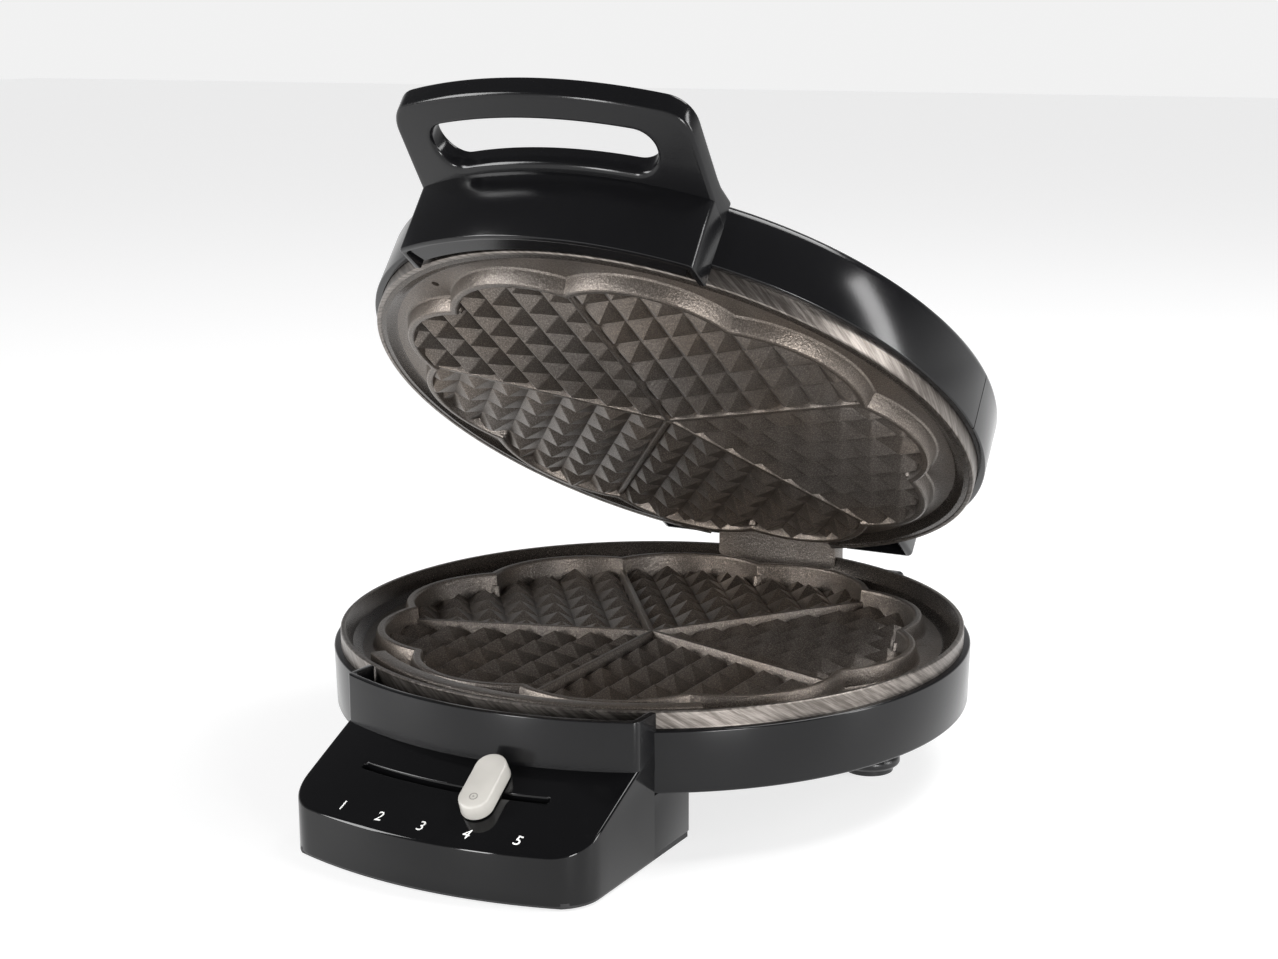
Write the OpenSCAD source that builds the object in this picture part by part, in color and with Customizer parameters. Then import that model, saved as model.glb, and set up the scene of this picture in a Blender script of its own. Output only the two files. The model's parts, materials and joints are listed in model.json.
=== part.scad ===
// Round clamshell waffle maker: five-heart plates, front thermostat lever,
// lid with loop handle. Millimetres. Z up, table at z = 0, front is -Y,
// the hinge is at +Y. The modules are drawn about the axis of the round housing,
// and placed() then puts the origin at the middle of the object's footprint.
// Lid parts are drawn closed and then turned open by lid_open.

/* [Overall] */
// outer radius of the round lower housing at its top edge
housing_r = 120; // [100:0.1:150]
// height of the lower housing's top edge above the table
rim_z = 46; // [40:0.1:60]
// height of the lower housing wall
wall_h = 22; // [18:0.1:30]
// wall thickness of the plastic housings
wall_t = 2.5; // [1.8:0.1:4]
// height of the lid's side wall
lid_h = 24.9; // [20:0.1:32]

/* [Hinge] */
// distance of the hinge axis behind the housing axis
hinge_y = 113.6; // [108:0.1:118]
// height of the hinge axis above the lower housing's top edge
hinge_z = 22.4; // [20:0.1:26]
// angle the lid stands open in this drawing
lid_open = 37.3; // [0:0.1:90]
// diameter of the hinge pin
pin_d = 5; // [4:0.1:7]
// radial clearance of the pin in the lower lug
pin_clear = 0.06; // [0.02:0.01:0.1]
// half width of the lower plate's hinge lug
lug_w = 27; // [20:0.1:32]

/* [Plates] */
// outer radius of the lower plate's rim
plate_r = 117.5; // [95:0.1:130]
// lobe centre distance of the heart outline
lobe_c = 63.1; // [50:0.1:75]
// inner radius of each of the ten lobes
lobe_r = 37.9; // [30:0.1:45]
// thickness of the heart wall
heart_wall = 4; // [2.5:0.1:5]
// distance between pyramid rows
pitch = 13.2; // [10:0.1:16]
// height of the pyramids
pyr_h = 3.8; // [2:0.1:6]

/* [Controls] */
// half width of the control housing and of the lid band
box_w = 57.5; // [50:0.1:62]
// radius of the curved front bands
band_r = 130; // [126:0.1:136]
// radius of the control housing's front face
front_r = 163; // [155:0.1:170]
// radius of the lever slot
slot_r = 142; // [138:0.1:146]
// angle of the drawn lever position from the middle of the slot
lever_at = 6; // [-11:0.1:11]
// length of the lever's grip
lever_l = 25; // [18:0.1:27]

/* [Handle] */
// radius of the handle's outer edge
handle_r = 159; // [150:0.1:168]
// rise of the handle per millimetre outwards
handle_k = 0.37; // [0.2:0.01:0.5]

/* [Hidden] */
$fn = 96;
foot_shift = 15;                   // from the housing's axis to the middle of the footprint
eps = 0.01;
TOP = rim_z;                       // lower housing's top edge
BOT = rim_z - wall_h;              // lower housing's bottom edge
PR = plate_r;                      // lower rim radius
HZ = rim_z + hinge_z;              // hinge axis height
LIDE = rim_z + 14.8;               // lid wall lower edge, closed
LIDT = LIDE + lid_h;               // lid top, closed
URIM = rim_z + 8.8;                // upper rim plane, closed
LRIM = rim_z + 5.9;                // lower rim plane
LCREST = rim_z + 4.6;
LVAL = rim_z - 5;                  // lower valleys
LFLOOR = rim_z - 1.8;              // lower channel floor
UCREST = rim_z + 4.9;
UVAL = rim_z + 8.4;
UFLOOR = rim_z + 11;
HK = 0.52;                         // slope of the control panel
panel_top = rim_z - 10.8;
foot_pts = [[84, 14], [-84, 14], [48, 84], [-48, 84]];
cover_pts = [for (a = [62, 118, 164, 196, 242, 298]) [104 * sin(a), -104 * cos(a)]];
tie_pts = [[-51.5, -88], [51.5, -88]];
plate_pts = [for (a = [50, 170, 190, 310]) [86 * sin(a), -86 * cos(a)]];
lidscrew_pts = [for (a = [60, 150, 210, 300]) [80 * sin(a), -80 * cos(a)]];

module placed() { translate([0, foot_shift, 0]) children(); }
module at(p, z = 0) { translate([p[0], p[1], z]) children(); }
module tube(ro, ri, z0, z1) { translate([0, 0, z0]) difference() {
  cylinder(r = ro, h = z1 - z0); translate([0, 0, -1]) cylinder(r = ri, h = z1 - z0 + 2); } }
module opened() { translate([0, hinge_y, HZ]) rotate([-lid_open, 0, 0]) translate([0, -hinge_y, -HZ]) children(); }
module xrod(r, x0, x1, y, z) { translate([x0, y, z]) rotate([0, 90, 0]) cylinder(r = r, h = x1 - x0); }
module xprism(pts, x0, x1) { translate([x0, 0, 0]) rotate([90, 0, 90]) linear_extrude(x1 - x0) polygon(pts); }
module front(w, y0, y1, z0, z1) { translate([-w, y0, z0]) cube([2 * w, y1 - y0, z1 - z0]); }
// screw with a domed head below or above
module screw(d, l, hd, hh, up = 1) { translate([0, 0, up > 0 ? 0 : -0.3]) cylinder(d = d, h = l + 0.3);
  translate([0, 0, up > 0 ? l : -hh]) difference() { cylinder(d = hd, h = hh);
    translate([0, 0, up > 0 ? hh - 1 : -1]) { translate([-hd * 0.3, -0.4, 0]) cube([hd * 0.6, 0.8, 2]);
      translate([-0.4, -hd * 0.3, 0]) cube([0.8, hd * 0.6, 2]); } } }
// ten-lobed outline of the baking field
module lobes(g = 0) { for (k = [0 : 9]) rotate([0, 0, 18 + 36 * k]) translate([0, -lobe_c]) circle(r = lobe_r + g);
  circle(r = 88 + g * 0.6); }
// saw-tooth rows parallel to the divider on -Y, seen along Y; tips towards +z
module rows() { n = 8; translate([0, 3, 0]) rotate([90, 0, 0]) linear_extrude(112)
  polygon(concat([[0, -1]], [for (i = [0 : 2 * n]) [i * pitch / 2, i % 2 == 0 ? 0 : pyr_h]], [[n * pitch, -1]])); }
module mrows() { mirror([1, 0, 0]) rows(); }
// one heart's pyramids, valleys at z = 0, on a base 1 mm thick
module heart_pyramids() { intersection() { rows(); rotate([0, 0, 72]) mrows();
  translate([0, 0, -1]) linear_extrude(pyr_h + 2) intersection() { lobes(0.6);
    polygon([[0.8, -1.1], [0.8, -125], [200 * sin(36), -200 * cos(36)],
      [125 * sin(72) - 0.8 * cos(72), -125 * cos(72) - 0.8 * sin(72)]]); } } }
// rounded tip between a heart's two lobes
module heart_tip(z0, z1) { rotate([0, 0, 36]) translate([0, -93.4, z0]) cylinder(r = 2.2, h = z1 - z0); }
module divider(h) { translate([-1.2, -94, 0]) cube([2.4, 94, h]); }

// ---------------------------------------------------------------- base
module lower_housing() color([0.04, 0.04, 0.045]) difference() {
  union() {
    difference() {
      translate([0, 0, BOT]) rotate_extrude() polygon([[housing_r - 0.6 - wall_t, 0], [housing_r - 0.6, 0], [housing_r, wall_h],
        [PR - 2.8, wall_h], [PR - 2.8, wall_h - 2.5], [housing_r - wall_t, wall_h - 2.5]]);
      // seat for the lower lug
      front(lug_w + 0.4, 108, 120.6, BOT + 8, TOP + 1);
    }
    // rear stand block
    difference() {
      front(52, 100, 128, BOT, TOP);
      front(49.5, 90, 125.5, BOT - 1, TOP - 2.5);
      translate([0, 0, BOT - 1]) cylinder(r = housing_r - 1.2, h = wall_h + 2);
      front(lug_w + 0.4, 108, 120.6, BOT + 8, TOP + 1);
    }
    for (p = cover_pts) at(p, BOT + 2.6) difference() { cylinder(d = 8, h = 9.9); translate([0, 0, -1]) cylinder(d = 3.2, h = 13); }
    for (a = [62, 118, 164, 196, 242, 298]) rotate([0, 0, a]) translate([-1, -118, BOT + 2.6]) cube([2, 10.5, 9.9]);
  }
  // inlet for the gland
  translate([40, 118, BOT + 9]) rotate([-90, 0, 0]) cylinder(d = 10, h = 20);
}
module base_cover() color([0.05, 0.05, 0.055]) difference() {
  union() {
    translate([0, 0, BOT]) cylinder(r = housing_r - 0.6 - wall_t - 0.2, h = wall_t);
    for (p = foot_pts) at(p, BOT + wall_t - eps) cylinder(d = 12, h = 1.3);
    for (p = plate_pts) at(p, BOT + wall_t - eps) cylinder(d = 9, h = 1.7);
  }
  // throat into the control housing
  front(50, -140, -84, BOT - 1, BOT + 5);
  front(box_w + 3, -140, -95, BOT - 1, BOT + 5);
  for (p = cover_pts) at(p, BOT - 1) cylinder(d = 3.4, h = 5);
  for (p = cover_pts) at(p, BOT + wall_t) cylinder(d = 8.8, h = 5);
  for (p = concat(foot_pts, plate_pts, tie_pts)) at(p, BOT - 1) cylinder(d = 3.2, h = 12);
  for (x = [-30 : 12 : 30], y = [-30, 10]) translate([x - 1.5, y, BOT - 1]) cube([3, 26, 5]);
}
corner_r = 16;                     // plan radius of the control housing's front corners
corner_y = sqrt(pow(front_r - corner_r, 2) - pow(box_w - corner_r, 2)) + 0.8;
module box_plan(g = 0) { // plan of the control housing, g = inset
  intersection() { circle(r = front_r - g); union() {
    translate([-(box_w - g), -corner_y]) square([2 * (box_w - g), corner_y - 80 - g]);
    translate([-(box_w - corner_r), -175]) square([2 * (box_w - corner_r), 60]);
    for (s = [-1, 1]) translate([s * (box_w - corner_r), -corner_y]) circle(r = corner_r - g); } } }
module panel_cut(g = 0) { // everything above the sloping cone
  rotate_extrude() polygon([[100, panel_top + g + 0.52 * (band_r - 100)], [band_r + 60, panel_top + g - 0.52 * 60],
    [band_r + 60, rim_z + 60], [100, rim_z + 60]]); }
module control_housing() color([0.04, 0.04, 0.045]) difference() {
  union() {
    // box shell under the cone
    difference() {
      translate([0, 0, 2.6]) linear_extrude(60) box_plan(0);
      panel_cut(0);
      difference() { translate([0, 0, 1]) linear_extrude(62) box_plan(wall_t); panel_cut(-2.8); }
      translate([0, 0, BOT - 0.05]) cylinder(r = housing_r + 0.1, h = 60);
      front(48, -112, -84, BOT - 3, BOT + 1);
    }
    // curved band with returns
    intersection() {
      union() {
        tube(band_r, band_r - wall_t, panel_top - 1, TOP + 6.2);
        tube(band_r - 1, housing_r + 0.1, TOP - 3.5, TOP - 1);
        for (s = [-1, 1]) translate([s > 0 ? box_w - wall_t : -box_w, -135, BOT + wall_t + 0.2]) cube([wall_t, 40, wall_h + 6.2 - wall_t - 0.2]);
      }
      front(box_w, -140, -100, 0, TOP + 6.2);
      difference() { cylinder(r = band_r, h = 200); cylinder(r = housing_r + 0.1, h = 200); }
    }
    // screw bosses with ribs to the side walls
    for (s = [-1, 1], y = [-144, -96]) { translate([s * 45, y, 2.6]) cylinder(d = 8, h = 11);
      translate([s > 0 ? 46 : -56.5, y - 1, 2.6]) cube([10.5, 2, 11]); }
    for (p = tie_pts) { at(p, 12) cylinder(d = 7, h = BOT - 12.05);
      translate([p[0] > 0 ? 52.5 : -56.5, p[1] - 3, 12]) cube([4, 6, BOT - 12.05]); }
  }
  // curved lever slot
  rotate([0, 0, -14.4]) rotate_extrude(angle = 28.8, start = -90) translate([slot_r - 1.3, 2]) square([2.6, rim_z]);
  for (s = [-1, 1], y = [-144, -96]) translate([s * 45, y, 1]) cylinder(d = 2.6, h = 11);
  for (p = tie_pts) at(p, 14) cylinder(d = 2.6, h = 20);
}
module control_base() color([0.05, 0.05, 0.055]) difference() {
  translate([0, 0, 0.8]) linear_extrude(1.8) box_plan(0.6);
  for (s = [-1, 1], y = [-144, -96]) translate([s * 45, y, 0]) cylinder(d = 2.7, h = 4);
  for (i = [-3 : 3]) translate([i * 9 - 1.5, -128, 0]) cube([3, 22, 4]);
}
module control_pads() color([0.08, 0.08, 0.08]) for (s = [-1, 1]) translate([s * 38 - 9, -140, 0]) cube([18, 8, 0.8]);
module legs() color([0.03, 0.03, 0.03]) for (p = foot_pts) at(p) difference() {
  rotate_extrude() polygon([[0, 2], [10, 2], [11.5, 3.2], [11.5, 5.2], [10, 7], [8.5, 8.5], [8.5, BOT], [0, BOT]]);
  cylinder(d = 6.5, h = 12); translate([0, 0, 8]) cylinder(d = 2.7, h = 30); }
module leg_pads() color([0.1, 0.1, 0.1]) for (p = foot_pts) at(p) difference() { cylinder(d = 18, h = 2); translate([0, 0, -1]) cylinder(d = 6.5, h = 4); }
module base_screws() color([0.7, 0.7, 0.72]) {
  for (p = cover_pts) at(p, BOT) screw(3, 12, 6, 1.8, -1);
  for (p = foot_pts) at(p, 12) screw(2.5, BOT + 3.6 - 12, 5.6, 1.8, -1);
}
module control_screws() color([0.7, 0.7, 0.72]) {
  for (s = [-1, 1], y = [-144, -96]) translate([s * 45, y, 0.8]) cylinder(d = 2.5, h = 10);
  for (p = tie_pts) at(p, BOT - 8) screw(2.5, 8 + wall_t, 5.4, 1.6, 1); }
module cord_gland() color([0.06, 0.06, 0.06]) translate([40, 0, BOT + 9]) difference() {
  union() { translate([0, 128, 0]) rotate([-90, 0, 0]) cylinder(d = 14, h = 2.5);
    translate([0, 124.5, 0]) rotate([-90, 0, 0]) cylinder(d = 9.9, h = 4);
    translate([0, 123, 0]) rotate([-90, 0, 0]) cylinder(d = 13, h = 2.4); }
  translate([0, 120, 0]) rotate([-90, 0, 0]) cylinder(d = 7, h = 16); }

// lower plate casting
module lower_plate() color([0.3, 0.28, 0.26]) {
  difference() {
    union() {
      // body, channel and rim
      rotate_extrude() polygon([[0, LVAL - 4], [99, LVAL - 4], [104, LFLOOR - 4.2], [PR - 3.1, LFLOOR - 4.2], [PR - 3.1, TOP],
        [PR, TOP], [PR, LRIM], [PR - 1.7, LRIM], [PR - 4.4, LFLOOR + 2], [PR - 7.5, LFLOOR], [0, LFLOOR]]);
      translate([0, 0, LFLOOR - 1]) linear_extrude(LCREST - LFLOOR + 1) lobes(heart_wall);
      // front ledge
      rotate([0, 0, -37]) rotate_extrude(angle = 74, start = -90) translate([105.6, LFLOOR - 1]) square([6, 8]);
      // hinge lug
      xprism([[106, TOP - 5], [112, TOP - 8], [117.6, TOP - 8], [119.8, TOP - 4], [119.8, HZ - 2], [hinge_y, HZ],
        [hinge_y - 4.6, HZ], [110.8, HZ - 8], [110.8, TOP - 3], [106, TOP - 3]], -lug_w, lug_w);
      xrod(5, -lug_w, lug_w, hinge_y, HZ);
      // bosses below
      for (p = plate_pts) at(p, BOT + 5) cylinder(d = 7, h = LVAL - 8 - BOT);
    }
    translate([0, 0, LVAL - 0.6]) linear_extrude(40) lobes(0);
    xrod(pin_d / 2 + pin_clear, -lug_w - 1, lug_w + 1, hinge_y, HZ);
    for (p = plate_pts) at(p, BOT) cylinder(d = 2.9, h = LVAL - 1.6 - BOT);
  }
  for (k = [0 : 4]) rotate([0, 0, 72 * k]) { translate([0, 0, LVAL]) heart_pyramids();
    translate([0, 0, LVAL - 1.2]) divider(pyr_h + 2.2);
    heart_tip(LVAL - 1.1, LCREST - 0.8); }
}
module heater(z, a = 16) translate([0, 0, z]) { // tubular element, open at the front, ends bent outwards
  rotate([0, 0, a]) rotate_extrude(angle = 360 - 2 * a, start = -90) translate([62, 0]) circle(r = 3.2);
  for (s = [-1, 1]) rotate([0, 0, s * a]) translate([0, -62, 0]) {
    translate([-1.5, 0, 0]) rotate([0, 90, 0]) cylinder(r = 3.5, h = 3);
    translate([0, -9, 0]) rotate_extrude(angle = 90, start = s > 0 ? 90 : 0) translate([9, 0]) circle(r = 3.2);
    translate([-s * 9, -9, 0]) rotate([90, 0, 0]) { cylinder(r = 3.2, h = 12); translate([0, 0, 11.9]) cylinder(r = 1.2, h = 9); } } }
module lower_heater() color([0.45, 0.42, 0.4]) heater(LVAL - 7.25);
module lower_reflector() color([0.75, 0.75, 0.76]) difference() {
  rotate_extrude() polygon([[14, BOT + 4.2], [90, BOT + 4.2], [98.5, BOT + 8.2], [98.5, BOT + 9], [89.7, BOT + 5], [14, BOT + 5]]);
  for (p = plate_pts) at(p, BOT) cylinder(d = 3.4, h = 20);
  front(34, -104, -78, BOT, BOT + 20); }
module plate_screws() color([0.7, 0.7, 0.72]) for (p = plate_pts) at(p, BOT) screw(2.8, 14.6, 6, 1.6, -1);
module thermostat() color([0.85, 0.82, 0.75]) difference() { union() { translate([0, 0, BOT + 6.4]) cylinder(d = 24, h = 4.6);
    translate([0, 0, BOT + 10.8]) cylinder(d = 16, h = LVAL - 4 - BOT - 10.8); }
  translate([0, 0, BOT]) cylinder(d = 5.1, h = 9.4); }
module thermostat_bracket() color([0.7, 0.7, 0.7]) difference() {
  union() { translate([-22, -6, BOT + 5]) cube([44, 12, 1.4]);
    for (s = [-1, 1]) translate([s > 0 ? 20.6 : -22, -6, BOT + 5]) cube([1.4, 12, LVAL - 4 - BOT - 5]); }
  translate([0, 0, BOT]) cylinder(d = 9, h = 10); }
module thermostat_spindle() color([0.8, 0.8, 0.8]) rotate([0, 0, lever_at]) { translate([0, 0, BOT + 2.9]) cylinder(d = 5, h = 6.3); }
module lever_arm() color([0.75, 0.75, 0.77]) rotate([0, 0, lever_at]) difference() {
  union() { translate([0, 0, BOT + 2.9]) cylinder(d = 12, h = 1.2);
    translate([-4, -104, BOT + 2.9]) cube([8, 104, 1.2]);
    translate([-4, -105.2, BOT - 6]) cube([8, 1.2, 10.1]);
    translate([-4, -slot_r - 2.5, BOT - 6]) cube([8, slot_r - 101.5, 1.2]); }
  translate([0, 0, BOT]) cylinder(d = 5, h = 10);
  translate([0, -slot_r, BOT - 8]) cylinder(d = 2, h = 10); }
module control_lever() color([0.78, 0.77, 0.74]) rotate([0, 0, lever_at]) union() {
  pz = panel_top - HK * (slot_r - band_r); // panel height at the slot
  a = atan(HK);
  translate([0, -slot_r, pz]) rotate([a, 0, 0]) translate([0, 0, 0.5]) linear_extrude(5.6) {
    for (s = [-1, 1]) translate([0, s * (lever_l / 2 - 5.7)]) circle(r = 5.7);
    square([11.4, lever_l - 11.4], center = true); }
  translate([-4, -slot_r - 1, BOT - 4.8]) cube([8, 2, pz - BOT + 6.2]);
  translate([0, -slot_r, BOT - 6.2]) cylinder(d = 2, h = 3); }
module thermal_fuse() color([0.8, 0.75, 0.6]) { translate([34, 14, LVAL - 4 - 5]) rotate([0, 90, 40]) cylinder(d = 4, h = 14);
  translate([36.5, 12, LVAL - 4 - 4.2]) rotate([0, 0, 40]) cube([8, 4, 4.2]); }
module terminal_block() color([0.9, 0.9, 0.88]) difference() { translate([-36, -104, 2.6]) cube([22, 12, 10]);
  for (i = [0 : 2]) translate([-32.5 + 7.5 * i, -98, 8]) cylinder(d = 4, h = 6); }
module lead(a, b, r = 1.1) { // straight insulated run from a to b, both in the same plane z
  d = [b[0] - a[0], b[1] - a[1]]; l = norm(d);
  translate(a) rotate([0, 0, atan2(d[1], d[0])]) rotate([0, 90, 0]) cylinder(r = r, h = l); }
module inner_leads() color([0.8, 0.15, 0.1]) for (s = [-1, 1]) { x = s > 0 ? -17.5 : -32.5; zp = LVAL - 7.25;
  translate([x, -98, 8.6]) cylinder(r = 1.1, h = BOT - 1.2 - 8.6);
  lead([x, -98, BOT - 2], [s * 31, -92, BOT - 2]);
  translate([s * 31, -92, BOT - 3]) cylinder(r = 1.1, h = zp - BOT + 4);
  lead([s * 31, -92, zp], [s * 17.2, -92.2, zp]); }

// ---------------------------------------------------------------- lid
module upper_housing() color([0.04, 0.04, 0.045]) opened() difference() {
  union() {
    difference() {
      translate([0, 0, LIDE]) rotate_extrude() polygon([[0, lid_h], [0, lid_h - wall_t], [housing_r - 6, lid_h - wall_t], [housing_r - 0.3 - wall_t, lid_h - 6],
        [housing_r - 0.3 - wall_t, 0], [housing_r - 0.3, 0], [housing_r - 0.4, lid_h - 3], [housing_r - 3.4, lid_h]]);
    }
    // rear block over the hinge
    difference() { front(58, 96, 128, LIDE, LIDT - 4); front(55.5, 90, 125.5, LIDE - 1, LIDT - 6.5);
      translate([0, 0, LIDE - 2]) cylinder(r = housing_r - 1.2, h = lid_h + 4); }
    for (p = lidscrew_pts) at(p, LIDT - wall_t - 5.0) difference() { cylinder(d = 8, h = 5.2); translate([0, 0, -1]) cylinder(d = 2.9, h = 5); }
  }
  front(lug_w + 2, 100, 140, LIDE - 2, HZ + 9);
  front(38, 100, 121, LIDE - 2, HZ + 9);
  for (s = [-1, 1]) rotate([0, 0, s * 16]) translate([0, -110, LIDT - 12]) rotate([90, 0, 0]) cylinder(d = 3.2, h = 20);
}
module lid_handle() color([0.04, 0.04, 0.045]) opened() difference() {
  union() {
    intersection() {
      union() {
        tube(band_r, band_r - wall_t, rim_z + 6.9, LIDT);
        tube(band_r - 1, housing_r - 0.25, rim_z + 8.1, rim_z + 10.6);
        for (s = [-1, 1]) translate([s > 0 ? box_w - wall_t : -box_w, -140, rim_z + 6.9]) cube([wall_t, 50, LIDT - rim_z - 6.9]);
      }
      front(box_w, -140, -90, 0, 200);
      difference() { cylinder(r = band_r, h = 200); cylinder(r = housing_r - 0.25, h = 200); }
    }
    // sloping loop
    intersection() {
      rotate_extrude() polygon([[housing_r - 0.25, LIDT - 0.1], [housing_r - 0.25, LIDT - 4.5], [band_r - 1, rim_z + 32.4], [handle_r, rim_z + 32.4 + handle_k * (handle_r - band_r)],
        [handle_r, rim_z + 40.2 + handle_k * (handle_r - band_r)], [band_r - 4, LIDT + 0.3]]);
      linear_extrude(200) { translate([-box_w, -142]) square([2 * box_w, 60]);
        intersection() { circle(r = handle_r); union() { translate([-box_w + 12, -170]) square([2 * box_w - 24, 60]);
          for (s = [-1, 1]) translate([s * (box_w - 12), -141]) circle(r = 12); } } }
    }
    // bosses for the two screws through the lid wall
    for (s = [-1, 1]) rotate([0, 0, s * 16]) translate([0, -(housing_r - 0.2), LIDT - 12]) rotate([90, 0, 0]) cylinder(d = 8, h = 8.5);
  }
  for (s = [-1, 1]) rotate([0, 0, s * 16]) translate([0, -110, LIDT - 12]) rotate([90, 0, 0]) cylinder(d = 2.9, h = 15);
  // finger opening
  linear_extrude(200) intersection() { difference() { circle(r = 149.6); circle(r = 132.8); }
    union() { translate([-35.5, -160]) square([71, 60]); for (s = [-1, 1]) rotate([0, 0, s * 14.4]) translate([0, -141.2]) circle(r = 8.4); } }
}
module upper_plate() color([0.3, 0.28, 0.26]) opened() {
  difference() {
    union() {
      rotate_extrude() polygon([[0, UVAL + 4], [99, UVAL + 4], [103, UFLOOR + 4], [110, UFLOOR + 4], [PR - 0.6, LIDE + 0.6],
        [PR - 0.6, URIM], [PR - 2.3, URIM], [PR - 5, UFLOOR - 2], [PR - 8, UFLOOR], [86, UFLOOR], [86, UVAL + 2], [0, UVAL + 2]]);
      translate([0, 0, UCREST]) linear_extrude(UVAL + 3 - UCREST) lobes(heart_wall);
      for (s = [-1, 1]) { xprism([[100, UFLOOR + 1], [108, UFLOOR + 1], [hinge_y + 4.6, HZ - 2], [hinge_y, HZ + 3], [hinge_y - 4.6, HZ + 2]], s > 0 ? 28.4 : -36.4, s > 0 ? 36.4 : -28.4);
        xrod(5, s > 0 ? 28.4 : -36.4, s > 0 ? 36.4 : -28.4, hinge_y, HZ); }
    }
    translate([0, 0, UCREST - 20]) linear_extrude(UVAL - UCREST + 20.6) lobes(0);
    // room for the lower lug
    front(lug_w + 1, 105.6, 130, URIM - 3, HZ + 20);
    xrod(pin_d / 2, -50, 50, hinge_y, HZ);
    for (p = lidscrew_pts) at(p, UVAL + 1.4) cylinder(d = 2.9, h = 20);
  }
  for (k = [0 : 4]) rotate([0, 0, 72 * k]) { translate([0, 0, UVAL]) mirror([0, 0, 1]) heart_pyramids();
    translate([0, 0, UVAL - pyr_h + 1.4]) divider(pyr_h - 0.2);
    heart_tip(UCREST + 0.8, UVAL + 1.1); }
}
module upper_heater() color([0.45, 0.42, 0.4]) opened() heater(UVAL + 7.25);
module upper_reflector() color([0.75, 0.75, 0.76]) opened() difference() {
  rotate_extrude() polygon([[0, LIDT - 7.6], [92, LIDT - 7.6], [100, UVAL + 6], [100, UVAL + 5.4], [101, UVAL + 5.4], [101, UVAL + 6.4], [92.6, LIDT - 6.9], [0, LIDT - 6.9]]);
  for (p = lidscrew_pts) at(p, UVAL) cylinder(d = 9, h = 30);
  front(20, -104, -88, UVAL, LIDT - 7.7);
}
module upper_plate_screws() color([0.7, 0.7, 0.72]) opened() for (p = lidscrew_pts) at(p, UVAL + 2.4) cylinder(d = 2.8, h = LIDT - wall_t - 2 - UVAL - 2.4);
module handle_screws() color([0.7, 0.7, 0.72]) opened() for (s = [-1, 1]) rotate([0, 0, s * 16]) translate([0, -(housing_r - 2.86), LIDT - 12]) rotate([90, 0, 0]) screw(2.8, 7, 5.4, 1.6, -1);
module hinge_pin() color([0.8, 0.8, 0.82]) opened() difference() { xrod(pin_d / 2, -37.6, 37.6, hinge_y, HZ);
  for (s = [-1, 1]) translate([s > 0 ? 36.6 : -37.2, hinge_y, HZ]) rotate([0, 90, 0]) difference() { cylinder(d = pin_d + 1, h = 0.6); translate([0, 0, -1]) cylinder(d = pin_d - 1, h = 3); } }
module hinge_clips() color([0.6, 0.6, 0.62]) opened() for (s = [-1, 1]) translate([s > 0 ? 36.6 : -37.2, hinge_y, HZ]) rotate([0, 90, 0]) difference() {
  cylinder(d = pin_d + 3.4, h = 0.6); translate([0, 0, -1]) cylinder(d = pin_d - 1, h = 3); translate([-1.2, 0, -1]) cube([2.4, 10, 3]); }
module lid_fuse() color([0.8, 0.75, 0.6]) opened() { translate([-8, 20, UVAL + 4]) cube([16, 6, 2]); translate([-9, 23, UVAL + 8]) rotate([0, 90, 0]) cylinder(d = 4.4, h = 18); }
module lid_leads() color([0.8, 0.15, 0.1]) opened() for (s = [-1, 1]) rotate([0, 0, s * 16]) // crimp sleeves on the element's pins
  translate([-s * 9, -86, UVAL + 7.25]) rotate([90, 0, 0]) difference() { cylinder(r = 2.2, h = 9); translate([0, 0, -1]) cylinder(r = 1.25, h = 8); }

placed() lower_housing();
placed() base_cover();
placed() control_housing();
placed() control_base();
placed() control_pads();
placed() lower_plate();
placed() lower_heater();
placed() lower_reflector();
placed() plate_screws();
placed() thermostat();
placed() thermostat_bracket();
placed() thermostat_spindle();
placed() lever_arm();
placed() control_lever();
placed() thermal_fuse();
placed() terminal_block();
placed() inner_leads();
placed() cord_gland();
placed() legs();
placed() leg_pads();
placed() base_screws();
placed() control_screws();
placed() upper_housing();
placed() lid_handle();
placed() upper_plate();
placed() upper_heater();
placed() upper_reflector();
placed() upper_plate_screws();
placed() handle_screws();
placed() hinge_pin();
placed() hinge_clips();
placed() lid_fuse();
placed() lid_leads();
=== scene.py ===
"""Round waffle maker with an open lid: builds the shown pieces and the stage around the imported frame."""

import json
import math

import bmesh
import bpy
from mathutils import Matrix, Vector


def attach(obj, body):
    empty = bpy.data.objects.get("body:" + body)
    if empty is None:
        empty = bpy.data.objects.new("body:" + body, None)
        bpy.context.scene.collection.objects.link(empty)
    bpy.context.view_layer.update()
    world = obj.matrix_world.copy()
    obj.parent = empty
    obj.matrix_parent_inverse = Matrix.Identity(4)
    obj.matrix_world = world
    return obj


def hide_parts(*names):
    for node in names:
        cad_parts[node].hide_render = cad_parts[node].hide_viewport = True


bl_info = {
    "name": "Round waffle maker",
    "version": (1, 0, 0),
    "blender": (4, 5, 0),
    "location": "3D View > Sidebar > Waffle maker",
    "description": "Builds a round five-heart waffle maker with its finishes, and a small studio round it",
    "category": "Add Mesh",
}

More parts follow.
